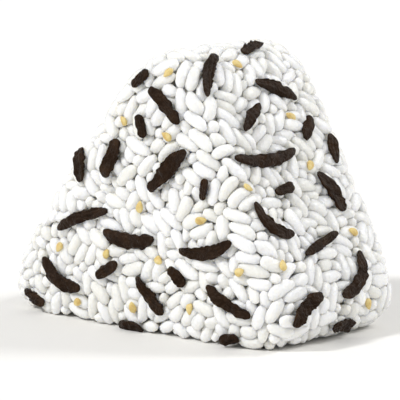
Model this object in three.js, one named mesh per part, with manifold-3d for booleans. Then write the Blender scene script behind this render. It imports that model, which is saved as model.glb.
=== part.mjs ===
// An onigiri: cooked rice pressed by hand into a rounded, three-sided cake, with strips of salted
// kelp and toasted sesame seeds mixed into it. It is one solid that stands on its pressed base.
// Millimetres, +Z up, the broad front face towards -Y, the origin in the middle of the base.
import * as THREE from "three";
import { ConvexHull } from "three/addons/math/ConvexHull.js";
import { mergeVertices } from "three/addons/utils/BufferGeometryUtils.js";
import Module from "manifold-3d";

const wasm = await Module();
wasm.setup();

// ---- The form ----
// The cake fills a triangle, seen from the front. Its corners and edges are rounded by norms.
const TRIANGLE_WIDTH = 97;
const TRIANGLE_HEIGHT = 72.2;
const APEX_LEAN = 8; // how far the apex stands towards +X from the middle of the base
const TRIANGLE_MIDDLE = -0.9; // X of the middle of the triangle's base, so the rounded cake is centred
const THICKNESS = 45;
const FACE_CROWN_RADIUS = 110; // the two broad faces swell like an ellipsoid of this radius
const CORNER_NORM = 3.2; // between the three sides: the lower, the rounder
const EDGE_NORM = 10; // between the sides and the faces
const BASE_TRIM = 2.2; // the base is pressed flat this far inside the triangle

// ---- The rice ----
const GRAIN_SPACING = 3.45; // least distance between the middles of two grains
const GRAIN_CREST = 3.2; // length of the ridge along the back of a grain
const GRAIN_UNEVEN = 0.5; // how far some grains lie below the others
const GRAIN_TURNS = 9; // ways round that are tried for each grain
const CLEFT_DEPTH = 1.1; // depth of the clefts between grains, strips and seeds
const NEIGHBOUR_REACH = 2 * GRAIN_SPACING; // how far away another grain matters to a grain's turn
const SCATTER_TRIES = 24000;

// ---- The kelp strips and sesame seeds ----
const STRIP_PROUD = 0.5; // how far a strip's back stands above the grains
const STRIP_STATION = 2.4; // distance between its sections
const LEAST_STATIONS = 3; // sections of the shortest strips
const STRIP_SPAN = 0.45; // share of its length from its middle to its last section
const STRIP_TAPER = 0.63; // share of its length from its middle to where its sides would meet
const STRIP_BACK = 0.85; // width of its flat back over its whole width
const SEED_LENGTH = 2.7;
const SEED_WIDTH = 1.8;
const SEED_THICKNESS = 0.9;
const SEED_SIDES = 6;
const SEED_RIDGE = 0.4; // length of a seed's ridge over its whole length
const TOPPING_MARGIN = 0.9; // from a strip or seed to the nearest ridge of a grain

const up = new THREE.Vector3(0, 0, 1);
const between = (low, high) => low + (high - low) * random();

// Each random draw is the one before it times a multiplier, modulo a prime.
const SCATTER_SEED = 41;
const DRAW_MULTIPLIER = 16807;
const DRAW_MODULUS = 2147483647;
let lastDraw = SCATTER_SEED;
function random() {
  lastDraw = (lastDraw * DRAW_MULTIPLIER) % DRAW_MODULUS;
  return lastDraw / DRAW_MODULUS;
}

// The triangle's corners, anticlockwise seen from the front, and its middle.
const corners = [
  new THREE.Vector3(TRIANGLE_MIDDLE - TRIANGLE_WIDTH / 2, 0, -BASE_TRIM),
  new THREE.Vector3(TRIANGLE_MIDDLE + TRIANGLE_WIDTH / 2, 0, -BASE_TRIM),
  new THREE.Vector3(TRIANGLE_MIDDLE + APEX_LEAN, 0, TRIANGLE_HEIGHT - BASE_TRIM),
];
const centre = new THREE.Vector3().add(corners[0]).add(corners[1]).add(corners[2]).divideScalar(3);

// The base, right and left sides: each one's outward normal and its distance from the centre.
const [baseSide, rightSide, leftSide] = corners.map((corner, i) => {
  const along = corners[(i + 1) % 3].clone().sub(corner).normalize();
  const normal = new THREE.Vector3(along.z, 0, -along.x);
  return { corner, along, normal, distance: normal.dot(corner.clone().sub(centre)) };
});
const sides = [baseSide, rightSide, leftSide];

// How many times a point, given from the centre, is as far out as the form's surface.
function outwardness(point) {
  const side = sides
    .map(({ normal, distance }) => Math.max(0, normal.dot(point) / distance) ** CORNER_NORM)
    .reduce((sum, term) => sum + term, 0);
  const crown = Math.hypot(point.x, point.z) / FACE_CROWN_RADIUS;
  const face = Math.hypot(point.y / (THICKNESS / 2), crown);
  return (side ** (EDGE_NORM / CORNER_NORM) + face ** EDGE_NORM) ** (1 / EDGE_NORM);
}

// The form's outward normal in a direction from the centre.
function normalAt(direction) {
  const step = 1e-4;
  const slope = (axis) =>
    outwardness(direction.clone().addScaledVector(axis, step)) -
    outwardness(direction.clone().addScaledVector(axis, -step));
  const axes = [new THREE.Vector3(1, 0, 0), new THREE.Vector3(0, 1, 0), up];
  return new THREE.Vector3(...axes.map(slope)).normalize();
}

// The point of the form in a direction from the centre, sunk below its surface by a depth.
function pointAt(direction, depth = 0) {
  const unit = direction.clone().normalize();
  const reach = 1 / outwardness(unit) - depth / normalAt(unit).dot(unit);
  return centre.clone().addScaledVector(unit, reach);
}

// Each face is drawn on a flat plane that touches the form, and thrown from there onto the form
// towards its centre. Places on it are across and up from the foot of the face, in millimetres.
const faces = {
  front: {
    foot: new THREE.Vector3(TRIANGLE_MIDDLE, -THICKNESS / 2, 0),
    across: new THREE.Vector3(1, 0, 0),
    up,
  },
  back: {
    foot: new THREE.Vector3(TRIANGLE_MIDDLE, THICKNESS / 2, 0),
    across: new THREE.Vector3(-1, 0, 0),
    up,
  },
  right: slopingFace(rightSide, 1),
  left: slopingFace(leftSide, -1),
};

// A sloping side's face, whose foot is where the side meets the ground.
function slopingFace({ corner, along, normal }, turned) {
  const upSlope = along.clone().multiplyScalar(turned);
  return {
    foot: corner.clone().addScaledVector(upSlope, -corner.z / upSlope.z),
    across: new THREE.Vector3(0, turned, 0),
    up: upSlope,
    normal,
  };
}

function directionTo(face, across, high) {
  const { foot, across: acrossAxis, up: upAxis } = faces[face];
  return foot.clone().addScaledVector(acrossAxis, across).addScaledVector(upAxis, high).sub(centre);
}

// ---- Relief ----
// The whole surface is a set of relief points, each a direction from the centre, a depth below the
// form, and the piece that it is on: a grain, a strip or a seed. The hull of the directions on a unit
// sphere says which of them are neighbours.

// The middles of the grains, spread evenly over the form by chance.
function scatterGrains() {
  const middles = [];
  for (let i = 0; i < SCATTER_TRIES; i++) {
    const middle = pointAt(new THREE.Vector3(between(-1, 1), between(-1, 1), between(-1, 1)));
    if (middles.every((other) => other.distanceTo(middle) > GRAIN_SPACING)) middles.push(middle);
  }
  return middles;
}

// The two ends of the ridge of a grain that is turned about the form's normal.
function ridgeEnds(middle, turn) {
  const normal = normalAt(middle.clone().sub(centre));
  const level = new THREE.Vector3().crossVectors(normal, up).normalize();
  const along = level.applyAxisAngle(normal, turn).multiplyScalar(GRAIN_CREST / 2);
  return [along, along.clone().negate()].map((arm) => pointAt(arm.add(middle).sub(centre)));
}

// Each grain takes the turn that keeps its ridge farthest from what lies round it.
function riceRelief(middles, taken) {
  const crests = [];
  for (const [number, middle] of middles.entries()) {
    const near = [...crests.map(({ point }) => point), ...taken].filter(
      (point) => point.distanceTo(middle) < NEIGHBOUR_REACH,
    );
    const room = (ends) => Math.min(...near.flatMap((other) => ends.map((end) => end.distanceTo(other))));
    const tries = Array.from({ length: GRAIN_TURNS }, (_, i) =>
      ridgeEnds(middle, ((i + random()) * Math.PI) / GRAIN_TURNS),
    );
    const best = tries.reduce((a, b) => (room(a) >= room(b) ? a : b));
    const depth = between(0, GRAIN_UNEVEN);
    for (const point of best) {
      if (near.every((other) => other.distanceTo(point) > TOPPING_MARGIN)) {
        crests.push({ point, depth, piece: `grain ${number}` });
      }
    }
  }
  return crests.map(({ point, ...rest }) => ({ direction: point.clone().sub(centre), ...rest }));
}

const TURNING_PASSES = 8;
const LEAST_GAIN = 1e-3; // radians that turning an edge must gain
const LEAST_VOLUME = 1e-6; // of a triangle's corners on the unit sphere, below which it is edge-on

// A closed skin of triangles over points that are seen from the centre, whose edges can be turned.
class Skin {
  constructor(points, triangles) {
    this.points = points;
    this.units = points.map((point) => point.clone().sub(centre).normalize());
    this.opposite = new Map(); // the third corner of the triangle to the left of each edge
    for (const ring of triangles) ring.forEach((a, k) => this.set(a, ring[(k + 1) % 3], ring[(k + 2) % 3]));
  }

  set(a, b, c) {
    this.opposite.set(`${a} ${b}`, c);
  }

  edges() {
    return [...this.opposite.keys()].map((key) => key.split(" ").map(Number)).filter(([a, b]) => a < b);
  }

  triangles() {
    const rings = [...this.opposite].map(([key, c]) => [...key.split(" ").map(Number), c]);
    return rings.filter(([a, b, c]) => a < b && a < c);
  }

  angle(tip, a, b) {
    const arm = (i) => this.points[i].clone().sub(this.points[tip]);
    return arm(a).angleTo(arm(b));
  }

  facesOut(a, b, c) {
    const [u, v, w] = [a, b, c].map((i) => this.units[i]);
    return u.dot(v.clone().cross(w)) > LEAST_VOLUME;
  }

  // Turn the edge a-b into c-d across its two triangles, if the skin stays open to the centre.
  turnEdge(a, b, wanted) {
    const [c, d] = [this.opposite.get(`${a} ${b}`), this.opposite.get(`${b} ${a}`)];
    if (!wanted(c, d) || !this.facesOut(a, d, c) || !this.facesOut(d, b, c)) return;
    this.opposite.delete(`${a} ${b}`);
    this.opposite.delete(`${b} ${a}`);
    for (const ring of [[a, d, c], [d, b, c]]) {
      ring.forEach((i, k) => this.set(i, ring[(k + 1) % 3], ring[(k + 2) % 3]));
    }
  }
}

const mean = (places) =>
  places.reduce((sum, place) => sum.add(place), new THREE.Vector3()).divideScalar(places.length);

// The cleft in a triangle of relief points lies midway between the grains, strips or seeds it spans.
function cleftPoint(ring, relief, points) {
  const pieces = [...new Set(ring.map((i) => relief[i].piece))];
  const middles = pieces.map((piece) =>
    mean(ring.filter((i) => relief[i].piece === piece).map((i) => points[i])),
  );
  return pointAt(mean(middles).sub(centre), CLEFT_DEPTH);
}

// The closed surface through relief points. A cleft lies in every triangle that spans two pieces or
// three, and edges that ran from piece to piece are turned to run from cleft to cleft, round each.
function reliefSurface(relief) {
  const units = relief.map(({ direction }) => direction.clone().normalize());
  const order = new Map(units.map((unit, i) => [unit, i]));
  const hull = new ConvexHull().setFromPoints(units).faces.map(({ edge }) =>
    [edge, edge.next, edge.prev].map((side) => order.get(side.head().point)),
  );
  const form = new Skin(units.map((unit) => pointAt(unit)), hull);
  for (let pass = 0; pass < TURNING_PASSES; pass++) {
    for (const [a, b] of form.edges()) {
      const across = (c, d) => form.angle(c, a, b) + form.angle(d, a, b);
      const along = (c, d) => form.angle(a, c, d) + form.angle(b, c, d);
      form.turnEdge(a, b, (c, d) => across(c, d) > along(c, d) + LEAST_GAIN);
    }
  }
  const points = relief.map(({ direction, depth }) => pointAt(direction, depth));
  const triangles = form.triangles().flatMap((ring) => {
    if (ring.every((i) => relief[i].piece === relief[ring[0]].piece)) return [ring];
    const cleft = points.push(cleftPoint(ring, relief, form.points)) - 1;
    return ring.map((i, k) => [i, ring[(k + 1) % 3], cleft]);
  });
  const rice = new Skin(points, triangles);
  for (const [a, b] of rice.edges()) {
    if (Math.max(a, b) >= relief.length || relief[a].piece === relief[b].piece) continue;
    rice.turnEdge(a, b, (c, d) => Math.min(c, d) >= relief.length);
  }
  return new THREE.BufferGeometry().setFromPoints(points).setIndex(rice.triangles().flat());
}

// ---- Kelp strips ----
// [face, across, up, length, width, turn in degrees from across, bow as a share of the length]
const STRIPS = [
  ["front", 2, 57, 6.5, 2.8, 36, 0],
  ["front", 10, 50.5, 11.5, 2.8, -41, 0],
  ["front", 3.5, 45, 5.5, 2.4, -64, 0],
  ["front", -5, 37, 9.5, 3.6, 65, 0.04],
  ["front", 11, 36, 14, 3.4, 44, 0],
  ["front", 21, 33, 5, 2.2, 75, 0],
  ["front", -16, 35.5, 9.5, 3.8, -72, 0],
  ["front", -14, 22.5, 17, 2.6, 20, 0.05],
  ["front", 0, 21, 14.5, 3.4, 0, -0.1],
  ["front", 21.5, 21, 14.5, 2.8, 13, -0.11],
  ["front", 13.5, 13.5, 5.5, 2.6, -40, 0],
  ["front", -6.5, 12.5, 7.5, 2.6, 30, 0],
  ["front", -21, 10, 13, 3.2, -25, -0.18],
  ["front", 6, 8.5, 10.5, 3.2, -45, -0.06],
  ["front", 28, 9.5, 14, 2.6, -25, -0.05],
  ["front", -33, 1.5, 8.5, 2.6, -13, 0],
  ["front", -0.5, -0.5, 7.5, 3.2, 0, 0],
  ["front", 28.5, 0.5, 5.5, 2.4, 6, 0],
  ["right", -13, 65, 14.5, 2.6, 48, 0.07],
  ["right", 6, 72.5, 11, 2.6, 22, 0],
  ["right", 4.5, 58.5, 12, 2.8, -26, 0.04],
  ["right", -7, 53, 9.5, 2.4, 32, 0.04],
  ["right", 9.5, 49, 7, 2.4, 46, 0],
  ["right", -7.5, 45, 19.5, 2.8, -2, -0.09],
  ["right", 15, 43.5, 7, 2.4, 77, 0],
  ["right", -6, 36.5, 6, 2.4, 10, 0],
  ["right", 8, 34, 10, 3.8, -70, 0.1],
  ["right", -12.5, 31, 11.5, 2.8, -45, -0.23],
  ["right", -1.5, 23.5, 13, 2.2, 14, 0],
  ["right", 4.5, 15.5, 14, 3.2, 43, -0.2],
  ["right", -13, 8, 14, 3.2, 37, 0.13],
  ["right", 1, -1, 10.5, 2.8, -12, 0],
];
// The other two faces: how many strips and seeds lie on each, and the field that holds them.
const SCATTERED = {
  back: { strips: 17, seeds: 12, reach: 36, low: 1.5, high: 58 },
  left: { strips: 11, seeds: 7, reach: 15, low: 1.5, high: 73 },
};
const SCATTER_OUTLINE = 0.83; // share of the form's outline, seen from the front, that they keep within
const SCATTER_SPACING = 8; // between the middles of two strips, and between two seeds
const SCATTER_CLEARANCE = 4; // between the spots along a strip and any other spot
const STRIP_SPOTS = [-0.5, -0.25, 0, 0.25, 0.5]; // shares of its length from its middle
const STRIP_RANGES = [
  [6, 16], // length
  [2.2, 3.3], // width
  [0, 180], // turn
  [-0.15, 0.15], // bow
];

// [face, across, up]
const SEEDS = [
  ["front", 10, 60],
  ["front", -2.5, 45.5],
  ["front", 11, 43],
  ["front", 3.5, 27],
  ["front", 20, 26],
  ["front", -22, 16],
  ["front", -7, 16],
  ["front", 8.5, 16.5],
  ["front", 31, 16],
  ["front", -17, 3.5],
  ["front", 1, 5],
  ["front", 16.5, 7],
  ["right", -4, 66.5],
  ["right", 5.5, 52.5],
  ["right", 5.5, 41],
  ["right", -16.5, 39],
  ["right", 10, 24],
  ["right", -15.5, 20.5],
  ["right", 9, 6],
];

// Whether a place is in its face's field and, on the back, clear of the rim.
function inField(face, [across, place]) {
  const { reach, low, high } = SCATTERED[face];
  const rim = outwardness(directionTo(face, across, place).setY(0));
  const clear = face === "left" || rim < SCATTER_OUTLINE;
  return clear && Math.abs(across) < reach && place > low && place < high;
}

// The place at a share of a strip's length from its middle, and at a distance to its left.
function placeOnStrip([, across, high, length, , turn, bow], share, left = 0) {
  const angle = THREE.MathUtils.degToRad(turn);
  const along = share * length;
  const aside = left + bow * length * (1 - 4 * share * share);
  return [
    across + along * Math.cos(angle) - aside * Math.sin(angle),
    high + along * Math.sin(angle) + aside * Math.cos(angle),
  ];
}

// Draw things anywhere in a face's field until enough of them lie clear of each other and of the
// spots that are taken. Strips are drawn with the ranges of their values, and seeds with none.
function scatter(face, count, ranges, takenSpots) {
  const { reach, low, high } = SCATTERED[face];
  const distance = ([x, y], [u, v]) => Math.hypot(x - u, y - v);
  const found = [];
  while (found.length < count) {
    const place = [between(-reach, reach), between(low, high)];
    const thing = [face, ...place, ...ranges.map((range) => between(...range))];
    const spots = ranges.length ? STRIP_SPOTS.map((share) => placeOnStrip(thing, share)) : [place];
    const apart = found.every(([, x, y]) => distance(place, [x, y]) > SCATTER_SPACING);
    const clear = takenSpots.every((other) =>
      spots.every((spot) => distance(spot, other) > SCATTER_CLEARANCE),
    );
    if (apart && clear && spots.every((spot) => inField(face, spot))) {
      found.push(thing);
      takenSpots.push(...spots);
    }
  }
  return found;
}

// A strip lies on the grains as a flat-backed bar: two shoulders at each section, and two tips.
function stripRelief(strip, number) {
  const [face, , , length, width] = strip;
  const relief = (share, left, depth) => ({
    direction: directionTo(face, ...placeOnStrip(strip, share, left)),
    depth,
    piece: `strip ${number}`,
  });
  const stations = Math.max(LEAST_STATIONS, Math.round((2 * STRIP_SPAN * length) / STRIP_STATION) + 1);
  const points = [relief(-0.5, 0, 0), relief(0.5, 0, 0)];
  for (let i = 0; i < stations; i++) {
    const share = STRIP_SPAN * ((2 * i) / (stations - 1) - 1);
    const half = (STRIP_BACK * width * Math.sqrt(1 - (share / STRIP_TAPER) ** 2)) / 2;
    points.push(relief(share, -half, -STRIP_PROUD), relief(share, half, -STRIP_PROUD));
  }
  return points;
}

// A seed is an oval bump on the back of a grain.
function seedRelief(direction, number) {
  const normal = normalAt(direction);
  const along = new THREE.Vector3().crossVectors(normal, up).normalize();
  along.applyAxisAngle(normal, between(0, Math.PI));
  const aside = new THREE.Vector3().crossVectors(normal, along);
  const middle = pointAt(direction).sub(centre);
  const relief = (share, left, depth) => ({
    direction: middle
      .clone()
      .addScaledVector(along, (share * SEED_LENGTH) / 2)
      .addScaledVector(aside, (left * SEED_WIDTH) / 2),
    depth,
    piece: `seed ${number}`,
  });
  const rim = Array.from({ length: SEED_SIDES }, (_, i) => (2 * Math.PI * i) / SEED_SIDES);
  const foot = rim.map((a) => relief(Math.cos(a), Math.sin(a), GRAIN_UNEVEN / 2));
  return [...foot, ...[-SEED_RIDGE, SEED_RIDGE].map((share) => relief(share, 0, -SEED_THICKNESS))];
}

// ---- The whole cake ----
const WELD_DISTANCE = 1e-4; // millimetres within which two vertices are one

function solid(geometry) {
  const bare = geometry.clone();
  bare.deleteAttribute("normal");
  bare.deleteAttribute("uv");
  const merged = mergeVertices(bare, WELD_DISTANCE);
  const vertProperties = new Float32Array(merged.getAttribute("position").array);
  const triVerts = new Uint32Array(merged.getIndex().array);
  return new wasm.Manifold(new wasm.Mesh({ numProp: 3, vertProperties, triVerts }));
}

const allStrips = [...STRIPS];
const allSeeds = [...SEEDS];
for (const [face, { strips, seeds }] of Object.entries(SCATTERED)) {
  const takenSpots = [];
  allStrips.push(...scatter(face, strips, STRIP_RANGES, takenSpots));
  allSeeds.push(...scatter(face, seeds, [], takenSpots));
}
const seedDirections = allSeeds.map((place) => directionTo(...place));
const toppings = [
  ...allStrips.flatMap(stripRelief),
  ...seedDirections.flatMap(seedRelief),
];
const taken = toppings.map(({ direction }) => pointAt(direction));
const clearMiddles = scatterGrains().filter((middle) =>
  taken.every((point) => point.distanceTo(middle) > TOPPING_MARGIN),
);
const surface = reliefSurface([...toppings, ...riceRelief(clearMiddles, taken)]);

const CUTTER = 200; // larger than the cake every way
const aboveGround = new THREE.BoxGeometry(CUTTER, CUTTER, CUTTER).translate(0, 0, CUTTER / 2);
const whole = solid(surface).intersect(solid(aboveGround));

const { vertProperties, triVerts } = whole.getMesh();
const geometry = new THREE.BufferGeometry();
geometry.setAttribute("position", new THREE.BufferAttribute(vertProperties, 3));
geometry.setIndex(new THREE.BufferAttribute(triVerts, 1));
geometry.computeVertexNormals();

const riceBall = new THREE.Mesh(
  geometry,
  new THREE.MeshStandardMaterial({ color: 0xf4f1ea, roughness: 0.45, metalness: 0 }),
);
riceBall.name = "rice_ball";

const onigiri = new THREE.Group();
onigiri.add(riceBall);
export default onigiri;
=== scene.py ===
"""The looks of an onigiri: cooked rice grains pressed round a core, with strips of salted kelp and
toasted sesame seeds. Lengths here are in millimetres, and turn into metres where a mesh is made."""

import itertools
import math

import bpy
import numpy as np
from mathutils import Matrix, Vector
from mathutils.bvhtree import BVHTree
from mathutils.kdtree import KDTree


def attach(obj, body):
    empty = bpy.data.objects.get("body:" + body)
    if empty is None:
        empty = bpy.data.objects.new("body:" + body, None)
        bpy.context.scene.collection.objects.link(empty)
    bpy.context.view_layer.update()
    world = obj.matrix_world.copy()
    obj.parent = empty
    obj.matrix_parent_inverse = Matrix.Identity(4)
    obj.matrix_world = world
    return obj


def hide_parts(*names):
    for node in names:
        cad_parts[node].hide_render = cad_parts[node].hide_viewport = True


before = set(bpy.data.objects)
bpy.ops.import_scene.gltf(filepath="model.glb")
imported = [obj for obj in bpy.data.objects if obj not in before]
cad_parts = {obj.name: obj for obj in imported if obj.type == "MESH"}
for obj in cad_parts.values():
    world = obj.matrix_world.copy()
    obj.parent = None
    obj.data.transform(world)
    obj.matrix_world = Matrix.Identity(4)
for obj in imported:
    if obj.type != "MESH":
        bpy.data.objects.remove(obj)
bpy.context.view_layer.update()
MM = 0.001
RANDOM_SEED = 17
random = np.random.default_rng(RANDOM_SEED)

# ---- The form: the same rounded triangle as the frame's solid ----
TRIANGLE_WIDTH = 97.0
TRIANGLE_HEIGHT = 72.2
APEX_LEAN = 8.0
TRIANGLE_MIDDLE = -0.9
THICKNESS = 45.0
FACE_CROWN_RADIUS = 110.0
CORNER_NORM = 3.2
EDGE_NORM = 10.0
BASE_TRIM = 2.2

# ---- The rice ----
GRAIN_COUNT = 1820
GRAIN_LENGTHS = (5.7, 7.2)
BROKEN_LENGTHS = (3.6, 4.8)
BROKEN_SHARE = 0.12
GRAIN_WIDTHS = (2.95, 3.35)
GRAIN_FLATNESS = 0.88  # thickness over width
GRAIN_TAPERS = (0.02, 0.14)  # share of its girth that a grain loses at one end and gains at the other
GRAIN_BENDS = (-0.45, 0.45)
GRAIN_ROLL = 0.45  # spread of the tilts away from lying flat on the form
GRAIN_UNEVEN = 0.7  # how far some grains lie below the others
PRESS_GIVE = 0.5  # depth above which a grain is squeezed by what pressed the cake
LAYER_DEPTH = 5.3  # the grains fill the form down to this depth
CORE_DEPTH = 2.9
CORE_LUMP_SPACING = 2.6
CORE_LUMP_HEIGHT = 1.0
CORE_SUBDIVISIONS = 6

# ---- The kelp and the sesame ----
KELP_THICKNESS = 0.7
KELP_PROUD = 0.35  # how far a strip stands out of the form
KELP_MIDDLE = KELP_PROUD - KELP_THICKNESS / 2  # how far the middle of its thickness does
KELP_STATION = 0.24  # distance between the sections of a strip
KELP_CLEARANCE = 0.15  # how far off a strip the grains are kept
GROUND_GIVE = 0.5  # height over the ground below which a strip is pressed flat
SEED_LENGTHS = (2.4, 2.8)
SEED_WIDTH = 1.75
SEED_THICKNESS = 0.95

# [face, across, up, length, width, turn in degrees from across, bow as a share of the length]
STRIPS = [
    ("front", 2, 57, 6.5, 2.8, 36, 0),
    ("front", 10, 50.5, 11.5, 2.8, -41, 0),
    ("front", 3.5, 45, 5.5, 2.4, -64, 0),
    ("front", -5, 37, 9.5, 3.6, 65, 0.04),
    ("front", 11, 36, 14, 3.4, 44, 0),
    ("front", 21, 33, 5, 2.2, 75, 0),
    ("front", -16, 35.5, 9.5, 3.8, -72, 0),
    ("front", -14, 22.5, 17, 2.6, 20, 0.05),
    ("front", 0, 21, 14.5, 3.4, 0, -0.1),
    ("front", 21.5, 21, 14.5, 2.8, 13, -0.11),
    ("front", 13.5, 13.5, 5.5, 2.6, -40, 0),
    ("front", -6.5, 12.5, 7.5, 2.6, 30, 0),
    ("front", -21, 10, 13, 3.2, -25, -0.18),
    ("front", 6, 8.5, 10.5, 3.2, -45, -0.06),
    ("front", 28, 9.5, 14, 2.6, -25, -0.05),
    ("front", -33, 1.5, 8.5, 2.6, -13, 0),
    ("front", -0.5, -0.5, 7.5, 3.2, 0, 0),
    ("front", 28.5, 0.5, 5.5, 2.4, 6, 0),
    ("right", -13, 65, 14.5, 2.6, 48, 0.07),
    ("right", 6, 72.5, 11, 2.6, 22, 0),
    ("right", 4.5, 58.5, 12, 2.8, -26, 0.04),
    ("right", -7, 53, 9.5, 2.4, 32, 0.04),
    ("right", 9.5, 49, 7, 2.4, 46, 0),
    ("right", -7.5, 45, 19.5, 2.8, -2, -0.09),
    ("right", 15, 43.5, 7, 2.4, 77, 0),
    ("right", -6, 36.5, 6, 2.4, 10, 0),
    ("right", 8, 34, 10, 3.8, -70, 0.1),
    ("right", -12.5, 31, 11.5, 2.8, -45, -0.23),
    ("right", -1.5, 23.5, 13, 2.2, 14, 0),
    ("right", 4.5, 15.5, 14, 3.2, 43, -0.2),
    ("right", -13, 8, 14, 3.2, 37, 0.13),
    ("right", 1, -1, 10.5, 2.8, -12, 0),
]
# [face, across, up]
SEEDS = [
    ("front", 10, 60),
    ("front", -2.5, 45.5),
    ("front", 11, 43),
    ("front", 3.5, 27),
    ("front", 20, 26),
    ("front", -22, 16),
    ("front", -7, 16),
    ("front", 8.5, 16.5),
    ("front", 31, 16),
    ("front", -17, 3.5),
    ("front", 1, 5),
    ("front", 16.5, 7),
    ("right", -4, 66.5),
    ("right", 5.5, 52.5),
    ("right", 5.5, 41),
    ("right", -16.5, 39),
    ("right", 10, 24),
    ("right", -15.5, 20.5),
    ("right", 9, 6),
]
# The other two faces: how many strips and seeds lie on each, and the field that holds them.
SCATTERED = {
    "back": {"strips": 17, "seeds": 12, "reach": 36, "low": 1.5, "high": 58},
    "left": {"strips": 11, "seeds": 7, "reach": 15, "low": 1.5, "high": 73},
}
SCATTER_OUTLINE = 0.83  # share of the form's outline, seen from the front, that they keep within
SCATTER_SPACING = 8.0  # between the middles of two strips, and between two seeds
SCATTER_CLEARANCE = 4.0  # between the spots along a strip and any other spot
STRIP_SPOTS = (-0.5, -0.25, 0, 0.25, 0.5)  # shares of its length from its middle
STRIP_RANGES = ((6, 16), (2.2, 3.3), (0, 180), (-0.15, 0.15))  # length, width, turn and bow
SCATTER_SEED = 41  # with the two below, the draws that scattered the frame's own strips and seeds
DRAW_MULTIPLIER = 16807
DRAW_MODULUS = 2147483647


def unit(vectors):
    return vectors / np.linalg.norm(vectors, axis=-1, keepdims=True)


# ---- The form's surface ----
CORNERS = np.array([
    [TRIANGLE_MIDDLE - TRIANGLE_WIDTH / 2, 0, -BASE_TRIM],
    [TRIANGLE_MIDDLE + TRIANGLE_WIDTH / 2, 0, -BASE_TRIM],
    [TRIANGLE_MIDDLE + APEX_LEAN, 0, TRIANGLE_HEIGHT - BASE_TRIM],
])
CENTRE = CORNERS.mean(axis=0)
ALONG = unit(np.roll(CORNERS, -1, axis=0) - CORNERS)  # along the base, right and left sides
SIDE_NORMALS = np.stack([ALONG[:, 2], ALONG[:, 1], -ALONG[:, 0]], axis=1)
SIDE_DISTANCES = ((CORNERS - CENTRE) * SIDE_NORMALS).sum(axis=1)
STRETCH = np.array([1 / FACE_CROWN_RADIUS, 2 / THICKNESS, 1 / FACE_CROWN_RADIUS])


def outwardness(points):
    """How many times as far out from the centre as the form's surface each point is, and its slope."""
    from_centre = points - CENTRE
    shares = np.maximum(0, from_centre @ SIDE_NORMALS.T / SIDE_DISTANCES)
    side = (shares**CORNER_NORM).sum(axis=1) ** (1 / CORNER_NORM)
    face = np.linalg.norm(from_centre * STRETCH, axis=1)
    whole = (side**EDGE_NORM + face**EDGE_NORM) ** (1 / EDGE_NORM)
    side_slope = (shares / side[:, None]) ** (CORNER_NORM - 1) @ (SIDE_NORMALS / SIDE_DISTANCES[:, None])
    face_slope = from_centre * STRETCH**2 / face[:, None]
    side_part = (side / whole) ** (EDGE_NORM - 1)
    face_part = (face / whole) ** (EDGE_NORM - 1)
    return whole, side_part[:, None] * side_slope + face_part[:, None] * face_slope


def depth_and_normal(points):
    """How far each point lies below the form or its flat base, whichever is nearer, and the way out."""
    outward, slope = outwardness(points)
    steepness = np.linalg.norm(slope, axis=1)
    depth = (1 - outward) / steepness
    normal = slope / steepness[:, None]
    over_base = points[:, 2] < depth
    normal[over_base] = (0, 0, -1)
    return np.where(over_base, points[:, 2], depth), normal


def thrown_on(points, depth=0.0):
    """The points of the form towards these points from its centre, sunk below it, and its normals there."""
    outward, slope = outwardness(points)
    normal = unit(slope)
    return CENTRE + (points - CENTRE) / outward[:, None] - normal * depth, normal


def sloping_face(side, turned):
    """A sloping side's face, whose foot is where the side meets the ground."""
    up_slope = ALONG[side] * turned
    foot = CORNERS[side] - up_slope * CORNERS[side][2] / up_slope[2]
    return foot, np.array([0, turned, 0]), up_slope


# Each face: its foot, the way across it and the way up it
FACES = {
    "front": (np.array([TRIANGLE_MIDDLE, -THICKNESS / 2, 0]), np.array([1, 0, 0]), np.array([0, 0, 1])),
    "back": (np.array([TRIANGLE_MIDDLE, THICKNESS / 2, 0]), np.array([-1, 0, 0]), np.array([0, 0, 1])),
    "right": sloping_face(1, 1),
    "left": sloping_face(2, -1),
}


def on_face(face, across, high):
    """Places on the plane that touches a face, from how far across it and up it they lie."""
    foot, across_axis, up_axis = FACES[face]
    return foot + np.multiply.outer(across, across_axis) + np.multiply.outer(high, up_axis)


# ---- Where the strips and seeds lie ----
def plain_draws():
    """Each random draw is the one before it times a multiplier, modulo a prime."""
    last = SCATTER_SEED
    while True:
        last = last * DRAW_MULTIPLIER % DRAW_MODULUS
        yield last / DRAW_MODULUS


def in_field(face, across, high):
    """Whether a place is in its face's field and, on the back, clear of the rim."""
    field = SCATTERED[face]
    rim, _ = outwardness((on_face(face, across, high) * (1, 0, 1))[None])
    clear = face == "left" or rim[0] < SCATTER_OUTLINE
    return clear and abs(across) < field["reach"] and field["low"] < high < field["high"]


def place_on_strip(strip, shares):
    """The places on its face at shares of a strip's length from its middle: across and up."""
    _, across, high, length, _, turn, bow = strip
    angle = math.radians(turn)
    along = shares * length
    aside = bow * length * (1 - 4 * shares**2)
    return (
        across + along * math.cos(angle) - aside * math.sin(angle),
        high + along * math.sin(angle) + aside * math.cos(angle),
    )


def scatter(face, count, ranges, taken_spots, draws):
    """Draw things anywhere in a face's field until enough of them lie clear of each other and of the
    spots that are taken. Strips are drawn with the ranges of their values, and seeds with none."""
    between = lambda low, high: low + (high - low) * next(draws)
    field = SCATTERED[face]
    found = []
    while len(found) < count:
        place = between(-field["reach"], field["reach"]), between(field["low"], field["high"])
        thing = (face, *place, *(between(*limits) for limits in ranges))
        spots = [place_on_strip(thing, share) for share in STRIP_SPOTS] if ranges else [place]
        apart = all(math.dist(place, other[1:3]) > SCATTER_SPACING for other in found)
        clear = all(math.dist(spot, other) > SCATTER_CLEARANCE for spot in spots for other in taken_spots)
        if apart and clear and all(in_field(face, *spot) for spot in spots):
            found.append(thing)
            taken_spots += spots
    return found


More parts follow.
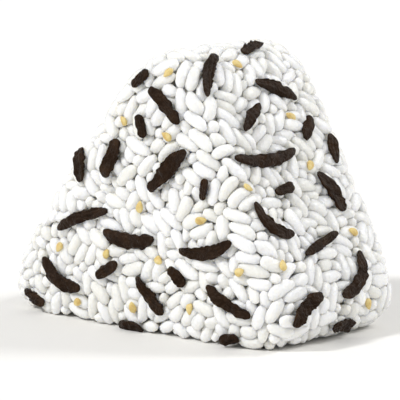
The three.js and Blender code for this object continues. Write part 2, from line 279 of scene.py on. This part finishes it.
def all_places():
    """The strips, and the places of the seeds, on every face."""
    draws = plain_draws()
    strips, seeds = list(STRIPS), list(SEEDS)
    for face, counts in SCATTERED.items():
        taken_spots = []
        strips += scatter(face, counts["strips"], STRIP_RANGES, taken_spots, draws)
        seeds += scatter(face, counts["seeds"], (), taken_spots, draws)
    return strips, [on_face(*seed) for seed in seeds]


# ---- Meshes ----
POLE_GAP = 0.75  # from a body's pole to its first ring, in steps from ring to ring


def mesh_object(name, vertices, faces, material):
    """A smooth object, from places in millimetres."""
    mesh = bpy.data.meshes.new(name)
    mesh.from_pydata((np.asarray(vertices) * MM).tolist(), [], faces)
    mesh.shade_smooth()
    mesh.materials.append(material)
    piece = bpy.data.objects.new(name, mesh)
    bpy.context.scene.collection.objects.link(piece)
    return piece


def ring_places(rings):
    """Where the rings of a closed body lie between its poles, from -1 to 1 and closer near the poles."""
    return -np.cos(np.pi * (np.arange(rings) + POLE_GAP) / (rings - 1 + 2 * POLE_GAP))


def ring_angles(sides):
    return 2 * np.pi * np.arange(sides) / sides


def spindle_faces(rings, sides):
    """Faces of a closed body of rings between two poles: the first pole, then the rings, then the last."""
    ring = lambda i, j: 1 + i * sides + j % sides
    last = 1 + rings * sides
    faces = [(0, ring(0, j + 1), ring(0, j)) for j in range(sides)]
    for i in range(rings - 1):
        faces += [(ring(i, j), ring(i, j + 1), ring(i + 1, j + 1), ring(i + 1, j)) for j in range(sides)]
    faces += [(last, ring(rings - 1, j), ring(rings - 1, j + 1)) for j in range(sides)]
    return faces


def joined(bodies):
    """One list of vertices and faces out of many."""
    vertices, faces, count = [], [], 0
    for body_vertices, body_faces in bodies:
        vertices.append(body_vertices)
        faces += [tuple(i + count for i in face) for face in body_faces]
        count += len(body_vertices)
    return np.concatenate(vertices), faces


# ---- Kelp strips ----
# Waves over a strip: how many, the range of their lengths, their size, and how far from straight
# across it they may run
EDGE_WAVES = (9, (1.1, 5), 0.075)
THICKNESS_WAVES = (5, (2, 6), 0.12)
LIFT_WAVES = (4, (5, 12), 0.12)
LEAN_WAVES = (4, (6, 14), 0.2)
CREASE_WAVES = (3, (1.1, 2.0), 0.22, 0.6)
RUMPLE_WAVES = (12, (0.9, 2.6), 0.075)
DRIFT_WAVES = (3, (5, 12), 0.4)
CREASE_PACE = 0.3  # how fast the creases change along a strip, as a share of how fast across it
CREASE_LIFT = 0.2  # lifts a strip about as much as its creases lower it
CURLS = (-0.25, 0.3)  # how far the edges bend down
TIP_POWER = 2.5  # the higher, the blunter a strip's tips
TIP_THINNING = 0.6  # how soon the strip gets thin towards its tips
TIP_CALM = 0.8  # share of the creases and rumples that is lost at the tips
TIP_CALM_POWER = 4
SECTION_POINTS = (15, 9)  # over a strip and under it
SECTION_EDGE = 1.48  # the points lie at the sines of even angles up to this, so closer near the edges
SECTION_POWER = 7  # the higher, the squarer the edges
OBSTACLE_REACH = 0.46  # share of the length that a strip's obstacles reach from its middle
OBSTACLE_SPACING = 0.9
LEAST_OBSTACLES = 4


def strip_line(strip, shares):
    """The middle line of a strip on the form, with its normals and the directions to its left."""
    line, normals = thrown_on(on_face(strip[0], *place_on_strip(strip, shares)))
    forward = unit(np.gradient(line, axis=0))
    return line, normals, unit(np.cross(normals, forward))


def waves(count, lengths, size, slant=np.pi / 2):
    """A smooth random field over a strip, as a sum of plane waves: a function of millimetres along
    and across it. The slant is how far a wave's direction may be from straight across."""
    bearing = np.pi / 2 + random.uniform(-slant, slant, count)
    pace = 2 * np.pi / random.uniform(*lengths, count)
    phase = random.uniform(0, 2 * np.pi, count)

    def field(along, across=0.0):
        rows = [
            np.sin(pace[i] * (along * math.cos(bearing[i]) + across * math.sin(bearing[i])) + phase[i])
            for i in range(count)
        ]
        return size * np.sum(rows, axis=0) / math.sqrt(count / 2)

    return field


def above_ground(vertices):
    """What would reach below the ground is pressed up against it, thinner the lower it lay."""
    height = vertices[:, 2]
    pressed_height = GROUND_GIVE * np.exp(np.minimum(0, height / GROUND_GIVE - 1))
    vertices[:, 2] = np.where(height < GROUND_GIVE, pressed_height, height)
    return vertices


def strip_section():
    """The places round a strip's section, from -1 to 1 across it and through its thickness."""
    top, bottom = (np.sin(np.linspace(-SECTION_EDGE, SECTION_EDGE, count)) for count in SECTION_POINTS)
    across = np.concatenate([top, -bottom])
    through = (1 - np.abs(across) ** SECTION_POWER) ** (1 / SECTION_POWER)
    through[len(top):] *= -1
    return list(zip(across, through))


def strip_body(strip):
    """A limp ribbon of kelp with ragged edges, creased along its length and rumpled."""
    length, width = strip[3:5]
    rings = int(length / KELP_STATION)
    shares = -0.5 * np.cos(np.pi * np.arange(1, rings + 1) / (rings + 1))
    line, normals, left = strip_line(strip, shares)
    along = shares * length
    taper = (1 - np.abs(2 * shares) ** TIP_POWER) ** (1 / TIP_POWER)
    edges = [width / 2 * taper * (1 + waves(*EDGE_WAVES)(along)) for _ in range(2)]
    thick = KELP_THICKNESS / 2 * taper**TIP_THINNING * (1 + waves(*THICKNESS_WAVES)(along))
    lift = KELP_MIDDLE + waves(*LIFT_WAVES)(along)
    lean = waves(*LEAN_WAVES)(along)
    curl = random.uniform(*CURLS)
    crease, rumple = waves(*CREASE_WAVES), waves(*RUMPLE_WAVES)
    drift = waves(*DRIFT_WAVES)(along)
    calm = 1 - TIP_CALM * (2 * shares) ** TIP_CALM_POWER
    body = []
    for x, y in strip_section():
        aside = edges[int(x > 0)] * x
        folds = CREASE_LIFT - np.abs(crease(CREASE_PACE * along, aside + drift)) + rumple(along, aside)
        rise = lift + thick * y + taper * (calm * folds - curl * x * x + lean * x)
        body.append(line + left * aside[:, None] + normals * rise[:, None])
    tips, tip_normals, _ = strip_line(strip, np.array([-0.5, 0.5]))
    tips = tips + tip_normals * lift[[0, -1], None]
    vertices = np.concatenate([tips[:1], np.stack(body, axis=1).reshape(-1, 3), tips[1:]])
    return above_ground(vertices), spindle_faces(rings, len(body))


def strip_obstacles(strip):
    """Three rows of small beads that keep the grains off a strip."""
    length, width = strip[3:5]
    count = max(LEAST_OBSTACLES, int(length / OBSTACLE_SPACING))
    line, normals, left = strip_line(strip, np.linspace(-OBSTACLE_REACH, OBSTACLE_REACH, count))
    edge = width / 2 - KELP_THICKNESS / 2
    return np.concatenate([line + left * aside + normals * KELP_MIDDLE for aside in (-edge, 0, edge)])


# ---- Packing the grains: each is a row of beads along its length, and the beads push each other ----
BEADS = np.array([-1.9, -0.65, 0.65, 1.9])
BEAD_RADII = np.array([1.2, 1.42, 1.42, 1.2])
START_TRIES = 20000
START_MARGIN = 1.4  # between the middles of the grains and the layer's two sides, at the start
START_LEVEL = 0.6  # share of its slope to the form that a grain loses at the start
SETTLE_STEPS = 220
NEIGHBOUR_REACH = 3.6
NEIGHBOUR_STEPS = 8  # from one search for the beads within that reach to the next
START_SIZE = 0.7  # share of their size that the beads start with
GROWTH = 0.5  # share that they would grow by over all the steps, if they didn't stop at their size
PUSH_SHARE = 0.4  # share of their overlap that each of two beads gives way in a step
LEAST_DISTANCE = 1e-6
OUTWARD_DRIFT = 0.03  # in a step, so that the grains lie against the form


def neighbour_pairs(points, reach):
    """Every pair of points that are less than the reach apart."""
    cells = np.floor((points - points.min(axis=0)) / reach).astype(np.int64) + 1
    size = cells.max(axis=0) + 2
    keys = (cells[:, 0] * size[1] + cells[:, 1]) * size[2] + cells[:, 2]
    order = np.argsort(keys, kind="stable")
    sorted_keys = keys[order]
    here = (0, 0, 0)
    pairs = []
    for step in itertools.product((-1, 0, 1), repeat=3):
        if step < here:
            continue
        x, y, z = step
        wanted = keys + (x * size[1] + y) * size[2] + z
        start = np.searchsorted(sorted_keys, wanted, "left")
        count = np.searchsorted(sorted_keys, wanted, "right") - start
        first = np.repeat(np.arange(len(points)), count)
        within = np.arange(len(first)) - np.repeat(np.cumsum(count) - count, count)
        second = order[np.repeat(start, count) + within]
        if step == here:
            first, second = first[first < second], second[first < second]
        near = ((points[first] - points[second]) ** 2).sum(axis=1) < reach**2
        pairs.append((first[near], second[near]))
    return tuple(np.concatenate(side) for side in zip(*pairs))


def start_grains():
    """Middles and long axes of the grains, at random in their layer."""
    half_thickness = (0, THICKNESS / 2, 0)
    low, high = CORNERS.min(axis=0) - half_thickness, CORNERS.max(axis=0) + half_thickness
    middles = np.empty((0, 3))
    while len(middles) < GRAIN_COUNT:
        tries = random.uniform(low, high, (START_TRIES, 3))
        depth, _ = depth_and_normal(tries)
        in_layer = (depth > START_MARGIN) & (depth < LAYER_DEPTH - START_MARGIN)
        middles = np.concatenate([middles, tries[in_layer]])
    middles = middles[:GRAIN_COUNT]
    _, normals = depth_and_normal(middles)
    axes = random.normal(size=(GRAIN_COUNT, 3))
    axes -= START_LEVEL * normals * (axes * normals).sum(axis=1, keepdims=True)
    return middles, unit(axes)


def grain_lengths():
    lengths = random.uniform(*GRAIN_LENGTHS, GRAIN_COUNT)
    broken = random.random(GRAIN_COUNT) < BROKEN_SHARE
    lengths[broken] = random.uniform(*BROKEN_LENGTHS, broken.sum())
    return lengths


def pushes(points, radii, first, second):
    """How far each point is pushed in a step by those that it overlaps, out of these pairs."""
    apart = points[first] - points[second]
    distance = np.maximum(LEAST_DISTANCE, np.linalg.norm(apart, axis=1))
    overlap = np.maximum(0, radii[first] + radii[second] - distance)
    push = apart * (PUSH_SHARE * overlap / distance)[:, None]
    return np.stack([
        np.bincount(first, push[:, k], len(points)) - np.bincount(second, push[:, k], len(points))
        for k in range(3)
    ], axis=1)


def settle(obstacles):
    """Push the grains apart, off the strips and into their layer until they lie pressed together."""
    middles, axes = start_grains()
    lengths = grain_lengths()
    sunk = np.repeat(random.uniform(0, GRAIN_UNEVEN, GRAIN_COUNT), len(BEADS))
    stretch = (lengths / 2 - BEAD_RADII[-1]) / BEADS[-1]
    offsets = stretch[:, None] * BEADS
    grain_numbers = np.repeat(np.arange(GRAIN_COUNT), len(BEADS))
    owners = np.concatenate([grain_numbers, np.full(len(obstacles), -1)])
    obstacle_radii = np.full(len(obstacles), KELP_THICKNESS / 2 + KELP_CLEARANCE)
    full_radii = np.concatenate([np.tile(BEAD_RADII, GRAIN_COUNT), obstacle_radii])
    bead_count = len(grain_numbers)
    for step in range(SETTLE_STEPS):
        beads = (middles[:, None] + axes[:, None] * offsets[:, :, None]).reshape(-1, 3)
        points = np.concatenate([beads, obstacles])
        if step % NEIGHBOUR_STEPS == 0:
            first, second = neighbour_pairs(points, NEIGHBOUR_REACH)
            strangers = owners[first] != owners[second]
            first, second = first[strangers], second[strangers]
        radii = full_radii * min(1, START_SIZE + GROWTH * step / SETTLE_STEPS)
        move = pushes(points, radii, first, second)[:bead_count]
        depth, normal = depth_and_normal(beads)
        radius = radii[:bead_count]
        out = np.minimum(0, depth - radius - sunk) + np.maximum(0, depth + radius - LAYER_DEPTH)
        move += normal * (out + OUTWARD_DRIFT)[:, None]
        move = move.reshape(GRAIN_COUNT, len(BEADS), 3)
        middles = middles + move.mean(axis=1)
        turn = (offsets[:, :, None] * move).sum(axis=1) / (offsets**2).sum(axis=1)[:, None]
        axes = unit(axes + turn)
    return middles, axes, lengths


# ---- Grain bodies: places along a grain run from -1 to 1, and sizes are shares of its girth ----
GRAIN_BLUNTNESS = (2.5, 2.2)  # the higher, the blunter its ends
LUMP_SIZE = 0.06
LUMP_PACE = 3.5
FLAT_SIZE = 0.035
DENT_SIZE = 0.16
DENT_REACH = 0.6  # how far from the middle the dent may lie
DENT_SPREAD = 0.18
NICK_SIZE = 0.42
NICK_PLACE = 0.84
NICK_SPREAD = 0.025
BEND_OFFSET = 0.4  # how far a bent grain's middle lies to one side of its axis, as a share of its bend


def grain_axes(middles, axes):
    """For each grain a direction across its flat side: as near the form's normal as may be."""
    _, normals = depth_and_normal(middles)
    normals = normals + GRAIN_ROLL * random.normal(size=normals.shape)
    flat = unit(normals - axes * (normals * axes).sum(axis=1, keepdims=True))
    return np.cross(flat, axes), flat


def make_grains(middles, axes, lengths):
    """What each grain's body is made from, as a list for each of its values."""
    count = len(middles)
    across, flat = grain_axes(middles, axes)
    return {
        "middle": middles,
        "axes": np.stack([axes, across, flat], axis=1),
        "length": lengths,
        "width": random.uniform(*GRAIN_WIDTHS, count),
        "taper": random.uniform(*GRAIN_TAPERS, count),
        "bend": random.uniform(*GRAIN_BENDS, count),
        "phase": random.uniform(0, 2 * np.pi, count),
        "twist": random.uniform(-1, 1, count),
    }


def some(grains, chosen):
    return {name: values[chosen] for name, values in grains.items()}


def grain_girths(u, angle, taper, phase, twist):
    """The girth of grains along and round them: blunt ends, one narrower, and lumps, flats and a dent."""
    power, root = GRAIN_BLUNTNESS
    blunt = (1 - np.abs(u) ** power) ** (1 / root)
    lumps = np.sin(LUMP_PACE * u + phase) * np.cos(2 * angle + 2 * phase)
    flats = np.cos(4 * angle + 3 * phase + twist * u)
    dent_side = np.maximum(0, np.cos(angle - 5 * phase)) ** 4
    dent = dent_side * np.exp(-((u - twist * DENT_REACH) ** 2) / DENT_SPREAD)
    uneven = 1 + LUMP_SIZE * lumps + FLAT_SIZE * flats - DENT_SIZE * dent
    return blunt * (1 - taper * u) * uneven


def grain_vertices(grains, rings, sides):
    """Plump bodies, bent a little, with a nick where the germ was."""
    count = len(grains["length"])
    column = lambda name: grains[name][:, None, None]
    u = ring_places(rings)[None, :, None]
    angle = ring_angles(sides)[None, None, :]
    girth = grain_girths(u, angle, column("taper"), column("phase"), column("twist"))
    nick_side = np.maximum(0, np.cos(angle)) ** 2
    nick = 1 - NICK_SIZE * np.exp(-((u - NICK_PLACE) ** 2) / NICK_SPREAD) * nick_side
    across = girth * nick * np.cos(angle) * column("width") / 2
    thick = girth * np.sin(angle) * column("width") / 2 * GRAIN_FLATNESS
    bend = column("bend") * (BEND_OFFSET - u**2)
    along = u * column("length") / 2
    local = np.stack(np.broadcast_arrays(along, across + bend, thick), axis=-1).reshape(count, -1, 3)
    pole = np.zeros((count, 1, 3))
    pole[:, 0, 0] = grains["length"] / 2
    pole[:, 0, 1] = grains["bend"] * (BEND_OFFSET - 1)
    local = np.concatenate([pole * (-1, 1, 1), local, pole], axis=1)
    turned = np.einsum("gvk,gkc->gvc", local, grains["axes"])
    vertices = (turned + grains["middle"][:, None]).reshape(-1, 3)
    return pressed(vertices).reshape(count, -1, 3)


def pressed(vertices):
    """What would stand out of the form is pressed flat against it, but for a little."""
    depth, normal = depth_and_normal(vertices)
    pressed_depth = PRESS_GIVE * np.exp(np.minimum(0, depth / PRESS_GIVE - 1))
    wanted = np.where(depth < PRESS_GIVE, pressed_depth, depth)
    return vertices - normal * (wanted - depth)[:, None]


def grains_mesh(grains, rings, sides):
    """The vertices of all the grains, one grain after the other, and their triangles, then their quads."""
    vertices = grain_vertices(grains, rings, sides)
    body_faces = spindle_faces(rings, sides)
    shift = (np.arange(len(vertices)) * vertices.shape[1])[:, None, None]
    faces = []
    for corners in (3, 4):
        alike = np.array([face for face in body_faces if len(face) == corners])
        faces += (alike + shift).reshape(-1, corners).tolist()
    return vertices.reshape(-1, 3), faces


# ---- Which grains show: lines of sight from outside, and the more of them meet a grain, the finer ----
SIGHT_LINES = 60000
SIGHT_PLACES = (60, 40, 50)  # spread of the places round the centre that the lines start above
SIGHT_DISTANCE = 4.0  # from their starts to the form
SIGHT_SLANT = 0.5
BASE_TOP = 0.5  # lines that would start lower than this look up at the base
BASE_SIGHTS = 0.1  # share of the lines from below that count
COARSE = (4, 6)  # rings and sides
GRAIN_DETAIL = (  # met by more lines than, and by no more than, rings, sides
    (36, SIGHT_LINES, 9, 12),
    (6, 36, 6, 9),
    (0, 6, *COARSE),
)


def sight_lines():
    """Lines of sight from just outside the form, aslant to it: few of them to its base."""
    places = random.normal(size=(SIGHT_LINES, 3)) * SIGHT_PLACES + CENTRE
    starts, normals = thrown_on(places, -SIGHT_DISTANCE)
    below = starts[:, 2] < BASE_TOP
    starts[below, 2] = -SIGHT_DISTANCE
    normals[below] = (0, 0, -1)
    ways = unit(random.normal(size=(SIGHT_LINES, 3)) * SIGHT_SLANT - normals)
    keep = ~below | (random.random(SIGHT_LINES) < BASE_SIGHTS)
    return starts[keep], ways[keep]


def count_sightings(grains):
    """How often each grain is the first that a line of sight meets."""
    vertices, faces = grains_mesh(grains, *COARSE)
    tree = BVHTree.FromPolygons(vertices.tolist(), faces)
    count = len(grains["length"])
    vertices_each = len(vertices) // count
    seen = np.zeros(count, int)
    for start, way in zip(*sight_lines()):
        index = tree.ray_cast(start, way)[2]
        if index is not None:
            seen[faces[index][0] // vertices_each] += 1
    return seen


def grains_that_show(grains):
    seen = count_sightings(grains)
    return joined([
        grains_mesh(some(grains, (seen > least) & (seen <= most)), rings, sides)
        for least, most, rings, sides in GRAIN_DETAIL
    ])


# ---- Core ----
def core_body():
    """A closed core under the grains, with lumps as if of grains that lie deeper."""
    bpy.ops.mesh.primitive_ico_sphere_add(subdivisions=CORE_SUBDIVISIONS, radius=1)
    ball = bpy.context.active_object
    directions = np.array([v.co for v in ball.data.vertices])
    faces = [tuple(p.vertices) for p in ball.data.polygons]
    bpy.data.objects.remove(ball)
    places, normals = thrown_on(CENTRE + directions)
    lumps = one_in_each_cell(places, CORE_LUMP_SPACING)
    tree = KDTree(len(lumps))
    for i, lump in enumerate(lumps):
        tree.insert(lump, i)
    tree.balance()
    away = np.array([tree.find(place)[2] for place in places])
    dents = CORE_LUMP_HEIGHT * np.minimum(1, away / CORE_LUMP_SPACING) ** 2
    vertices = places - normals * (CORE_DEPTH + dents)[:, None]
    vertices[:, 2] = np.maximum(vertices[:, 2], CORE_DEPTH - dents / 2)
    return vertices, faces


def one_in_each_cell(places, width):
    """One of the places, at random, out of each cubic cell of this width."""
    cells = {}
    for place in places[random.permutation(len(places))]:
        cell = tuple(np.floor(place / width).astype(int))
        cells.setdefault(cell, place)
    return list(cells.values())


# ---- Sesame seeds ----
SEED_DETAIL = (9, 12)  # rings and sides
SEED_POINT = 0.32  # share of its girth that a seed loses towards one end and gains towards the other
SEED_SLIMNESS = 0.1  # share that it loses towards both
SEED_TRIES = 24
SEED_SHIFT = 0.2  # spread of the tries round a seed's place
SEED_VIEW = 5.0  # height over the form from which they look down
SEED_LEVEL = 1.2  # weight of the form's normal against that of the grain below a seed
SEED_LIFT = 0.22  # from the grain to the middle of a seed


def seed_place(tree, place):
    """Where a seed lies on the grains: the highest ground close to its place, and the way up from it."""
    at, normal = (values[0] for values in thrown_on(place[None]))
    best = None
    for _ in range(SEED_TRIES):
        start = at + random.normal(size=3) * SEED_SHIFT + normal * SEED_VIEW
        hit, up, _, _ = tree.ray_cast(start, -normal)
        if hit is None:
            continue
        height = float(np.dot(np.array(hit) - at, normal))
        if best is None or height > best[0]:
            best = (height, np.array(hit), np.array(up))
    _, hit, up = best
    return hit, unit(up + SEED_LEVEL * normal)


def seed_body(tree, place):
    """A flat teardrop."""
    hit, up = seed_place(tree, place)
    along = unit(np.cross(up, random.normal(size=3)))
    across = np.cross(up, along)
    length = random.uniform(*SEED_LENGTHS)
    rings, sides = SEED_DETAIL
    u = ring_places(rings)[:, None]
    angle = ring_angles(sides)[None]
    girth = np.sqrt(1 - u**2) * (1 - SEED_POINT * u - SEED_SLIMNESS * u**2)
    wide = girth * np.cos(angle) * SEED_WIDTH / 2
    thick = girth * np.sin(angle) * SEED_THICKNESS / 2
    local = np.stack(np.broadcast_arrays(u * length / 2, wide, thick), axis=-1).reshape(-1, 3)
    local = np.concatenate([[[-length / 2, 0, 0]], local, [[length / 2, 0, 0]]])
    vertices = hit + up * SEED_LIFT + local @ np.stack([along, across, up])
    return vertices, spindle_faces(rings, sides)


# ---- Materials ----
def new_material(name):
    material = bpy.data.materials.new(name)
    material.use_nodes = True
    tree = material.node_tree
    return material, tree, tree.nodes["Principled BSDF"]


def noise(tree, scale, detail=3.0):
    """Noise over the object's own coordinates, in waves per metre."""
    coordinates = tree.nodes.new("ShaderNodeTexCoord")
    texture = tree.nodes.new("ShaderNodeTexNoise")
    texture.inputs["Scale"].default_value = scale
    texture.inputs["Detail"].default_value = detail
    tree.links.new(coordinates.outputs["Object"], texture.inputs["Vector"])
    return texture.outputs["Fac"]


def colour(tree, shader, value, stops):
    """Colours laid over a value from 0 to 1."""
    node = tree.nodes.new("ShaderNodeValToRGB")
    elements = node.color_ramp.elements
    while len(elements) < len(stops):
        elements.new(0.5)
    for element, (position, shade) in zip(elements, stops):
        element.position = position
        element.color = (*shade, 1)
    tree.links.new(value, node.inputs["Fac"])
    tree.links.new(node.outputs["Color"], shader.inputs["Base Color"])


def roughness(tree, shader, value, low, high):
    """Roughness that follows a value from 0 to 1."""
    node = tree.nodes.new("ShaderNodeMapRange")
    node.inputs["To Min"].default_value = low
    node.inputs["To Max"].default_value = high
    tree.links.new(value, node.inputs["Value"])
    tree.links.new(node.outputs["Result"], shader.inputs["Roughness"])


def bump(tree, shader, height, strength, distance):
    """Relief that follows a value from 0 to 1. The distance is in metres."""
    node = tree.nodes.new("ShaderNodeBump")
    node.inputs["Strength"].default_value = strength
    node.inputs["Distance"].default_value = distance
    tree.links.new(height, node.inputs["Height"])
    tree.links.new(node.outputs["Normal"], shader.inputs["Normal"])


def rice_material():
    """Cooked rice: milky and moist, some grains glassier than others."""
    material, tree, shader = new_material("cooked_rice")
    island = tree.nodes.new("ShaderNodeNewGeometry").outputs["Random Per Island"]
    colour(tree, shader, island, [
        (0.0, (0.84, 0.83, 0.78)),
        (0.35, (0.92, 0.91, 0.87)),
        (1.0, (0.965, 0.955, 0.925)),
    ])
    roughness(tree, shader, noise(tree, scale=420), low=0.05, high=0.4)
    shader.inputs["Subsurface Weight"].default_value = 0.65
    shader.inputs["Subsurface Radius"].default_value = (1.0, 0.93, 0.78)
    shader.inputs["Subsurface Scale"].default_value = 0.0022
    shader.inputs["IOR"].default_value = 1.42
    bump(tree, shader, noise(tree, scale=1100, detail=4.0), strength=0.6, distance=0.0006)
    return material


def kelp_material():
    """Salted kelp: brown-black, finely wrinkled, duller where the salt has dried."""
    material, tree, shader = new_material("salted_kelp")
    colour(tree, shader, noise(tree, scale=420, detail=6.0), [
        (0.3, (0.008, 0.003, 0.001)),
        (0.55, (0.015, 0.0062, 0.0022)),
        (0.8, (0.034, 0.0155, 0.006)),
    ])
    roughness(tree, shader, noise(tree, scale=600), low=0.2, high=0.6)
    shader.inputs["IOR"].default_value = 1.26
    shader.inputs["Specular Tint"].default_value = (1.0, 0.76, 0.58, 1)
    bump(tree, shader, noise(tree, scale=1500, detail=4.0), strength=0.8, distance=0.0005)
    return material


def sesame_material():
    """Toasted sesame: pale gold, browner in places, with a finely pitted skin."""
    material, tree, shader = new_material("toasted_sesame")
    colour(tree, shader, noise(tree, scale=700), [
        (0.3, (0.6, 0.4, 0.12)),
        (0.5, (0.73, 0.57, 0.22)),
        (0.75, (0.8, 0.66, 0.33)),
    ])
    roughness(tree, shader, noise(tree, scale=1500), low=0.35, high=0.6)
    shader.inputs["Subsurface Weight"].default_value = 0.2
    shader.inputs["Subsurface Radius"].default_value = (1.0, 0.7, 0.4)
    shader.inputs["Subsurface Scale"].default_value = 0.0008
    bump(tree, shader, noise(tree, scale=3200, detail=2.0), strength=0.7, distance=0.0003)
    return material


def floor_material():
    material, _, shader = new_material("pale_floor")
    shader.inputs["Base Color"].default_value = (0.86, 0.85, 0.83, 1)
    shader.inputs["Roughness"].default_value = 0.7
    return material


# ---- The pieces ----
def build_onigiri():
    strips, seeds = all_places()
    settled = settle(np.concatenate([strip_obstacles(strip) for strip in strips]))
    rice_vertices, rice_faces = grains_that_show(make_grains(*settled))
    tree = BVHTree.FromPolygons(rice_vertices.tolist(), rice_faces)

    rice = rice_material()
    core = mesh_object("rice_core", *core_body(), rice)
    rice_grains = mesh_object("rice_grains", rice_vertices, rice_faces, rice)
    kelp_bodies = [strip_body(strip) for strip in strips]
    kelp = mesh_object("kelp_strips", *joined(kelp_bodies), kelp_material())
    seed_bodies = [seed_body(tree, seed) for seed in seeds]
    sesame = mesh_object("sesame_seeds", *joined(seed_bodies), sesame_material())
    for piece, slot in ((core, "rice"), (rice_grains, "rice"), (kelp, "kelp"), (sesame, "sesame")):
        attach(piece, "root")
    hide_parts("rice_ball")


# ---- The studio ----
CAMERA_AZIMUTH = 40.5
CAMERA_ELEVATION = 9.15
CAMERA_DISTANCE = 550.0
CAMERA_LENS = 227.0
CAMERA_SENSOR = 36
CAMERA_REACH = 20  # metres
VIEW_MIDDLE = Vector((0, 0, 25.8))  # what the camera and the lights are turned to
FLOOR_SIZE = 8000.0
LIGHT_DISTANCE = 1000.0
SKY_STRENGTH = 0.6


def towards(azimuth, elevation):
    """The unit vector that points at a bearing round the object. Azimuth 0 is in front of it."""
    a, e = math.radians(azimuth), math.radians(elevation)
    return Vector((math.sin(a) * math.cos(e), -math.cos(a) * math.cos(e), math.sin(e)))


def aim(thing, azimuth, elevation, distance):
    """Place a camera or a light at a bearing and turn it to the middle of the view."""
    way = towards(azimuth, elevation)
    thing.location = (VIEW_MIDDLE + way * distance) * MM
    thing.rotation_euler = way.to_track_quat("Z", "Y").to_euler()
    bpy.context.scene.collection.objects.link(thing)


def distant_light(name, azimuth, elevation, spread_angle, strength):
    """Light that falls alike on the whole floor, softened by the width it comes from."""
    light = bpy.data.lights.new(name, "SUN")
    light.angle = math.radians(spread_angle)
    light.energy = strength
    aim(bpy.data.objects.new(name, light), azimuth, elevation, LIGHT_DISTANCE)


def build_studio():
    corner = FLOOR_SIZE / 2
    square = [(-corner, -corner, 0), (corner, -corner, 0), (corner, corner, 0), (-corner, corner, 0)]
    mesh_object("floor", square, [(0, 1, 2, 3)], floor_material())

    distant_light("key", azimuth=-22, elevation=42, spread_angle=8, strength=1.85)
    distant_light("back", azimuth=142, elevation=40, spread_angle=18, strength=1.3)

    scene = bpy.context.scene
    scene.world = bpy.data.worlds.new("studio")
    scene.world.use_nodes = True
    background = scene.world.node_tree.nodes["Background"]
    background.inputs["Color"].default_value = (1, 1, 1, 1)
    background.inputs["Strength"].default_value = SKY_STRENGTH
    scene.view_settings.view_transform = "Standard"

    camera = bpy.data.cameras.new("camera")
    camera.lens = CAMERA_LENS
    camera.sensor_width = CAMERA_SENSOR
    camera.clip_end = CAMERA_REACH
    scene.camera = bpy.data.objects.new("camera", camera)
    aim(scene.camera, CAMERA_AZIMUTH, CAMERA_ELEVATION, CAMERA_DISTANCE)


build_onigiri()
build_studio()
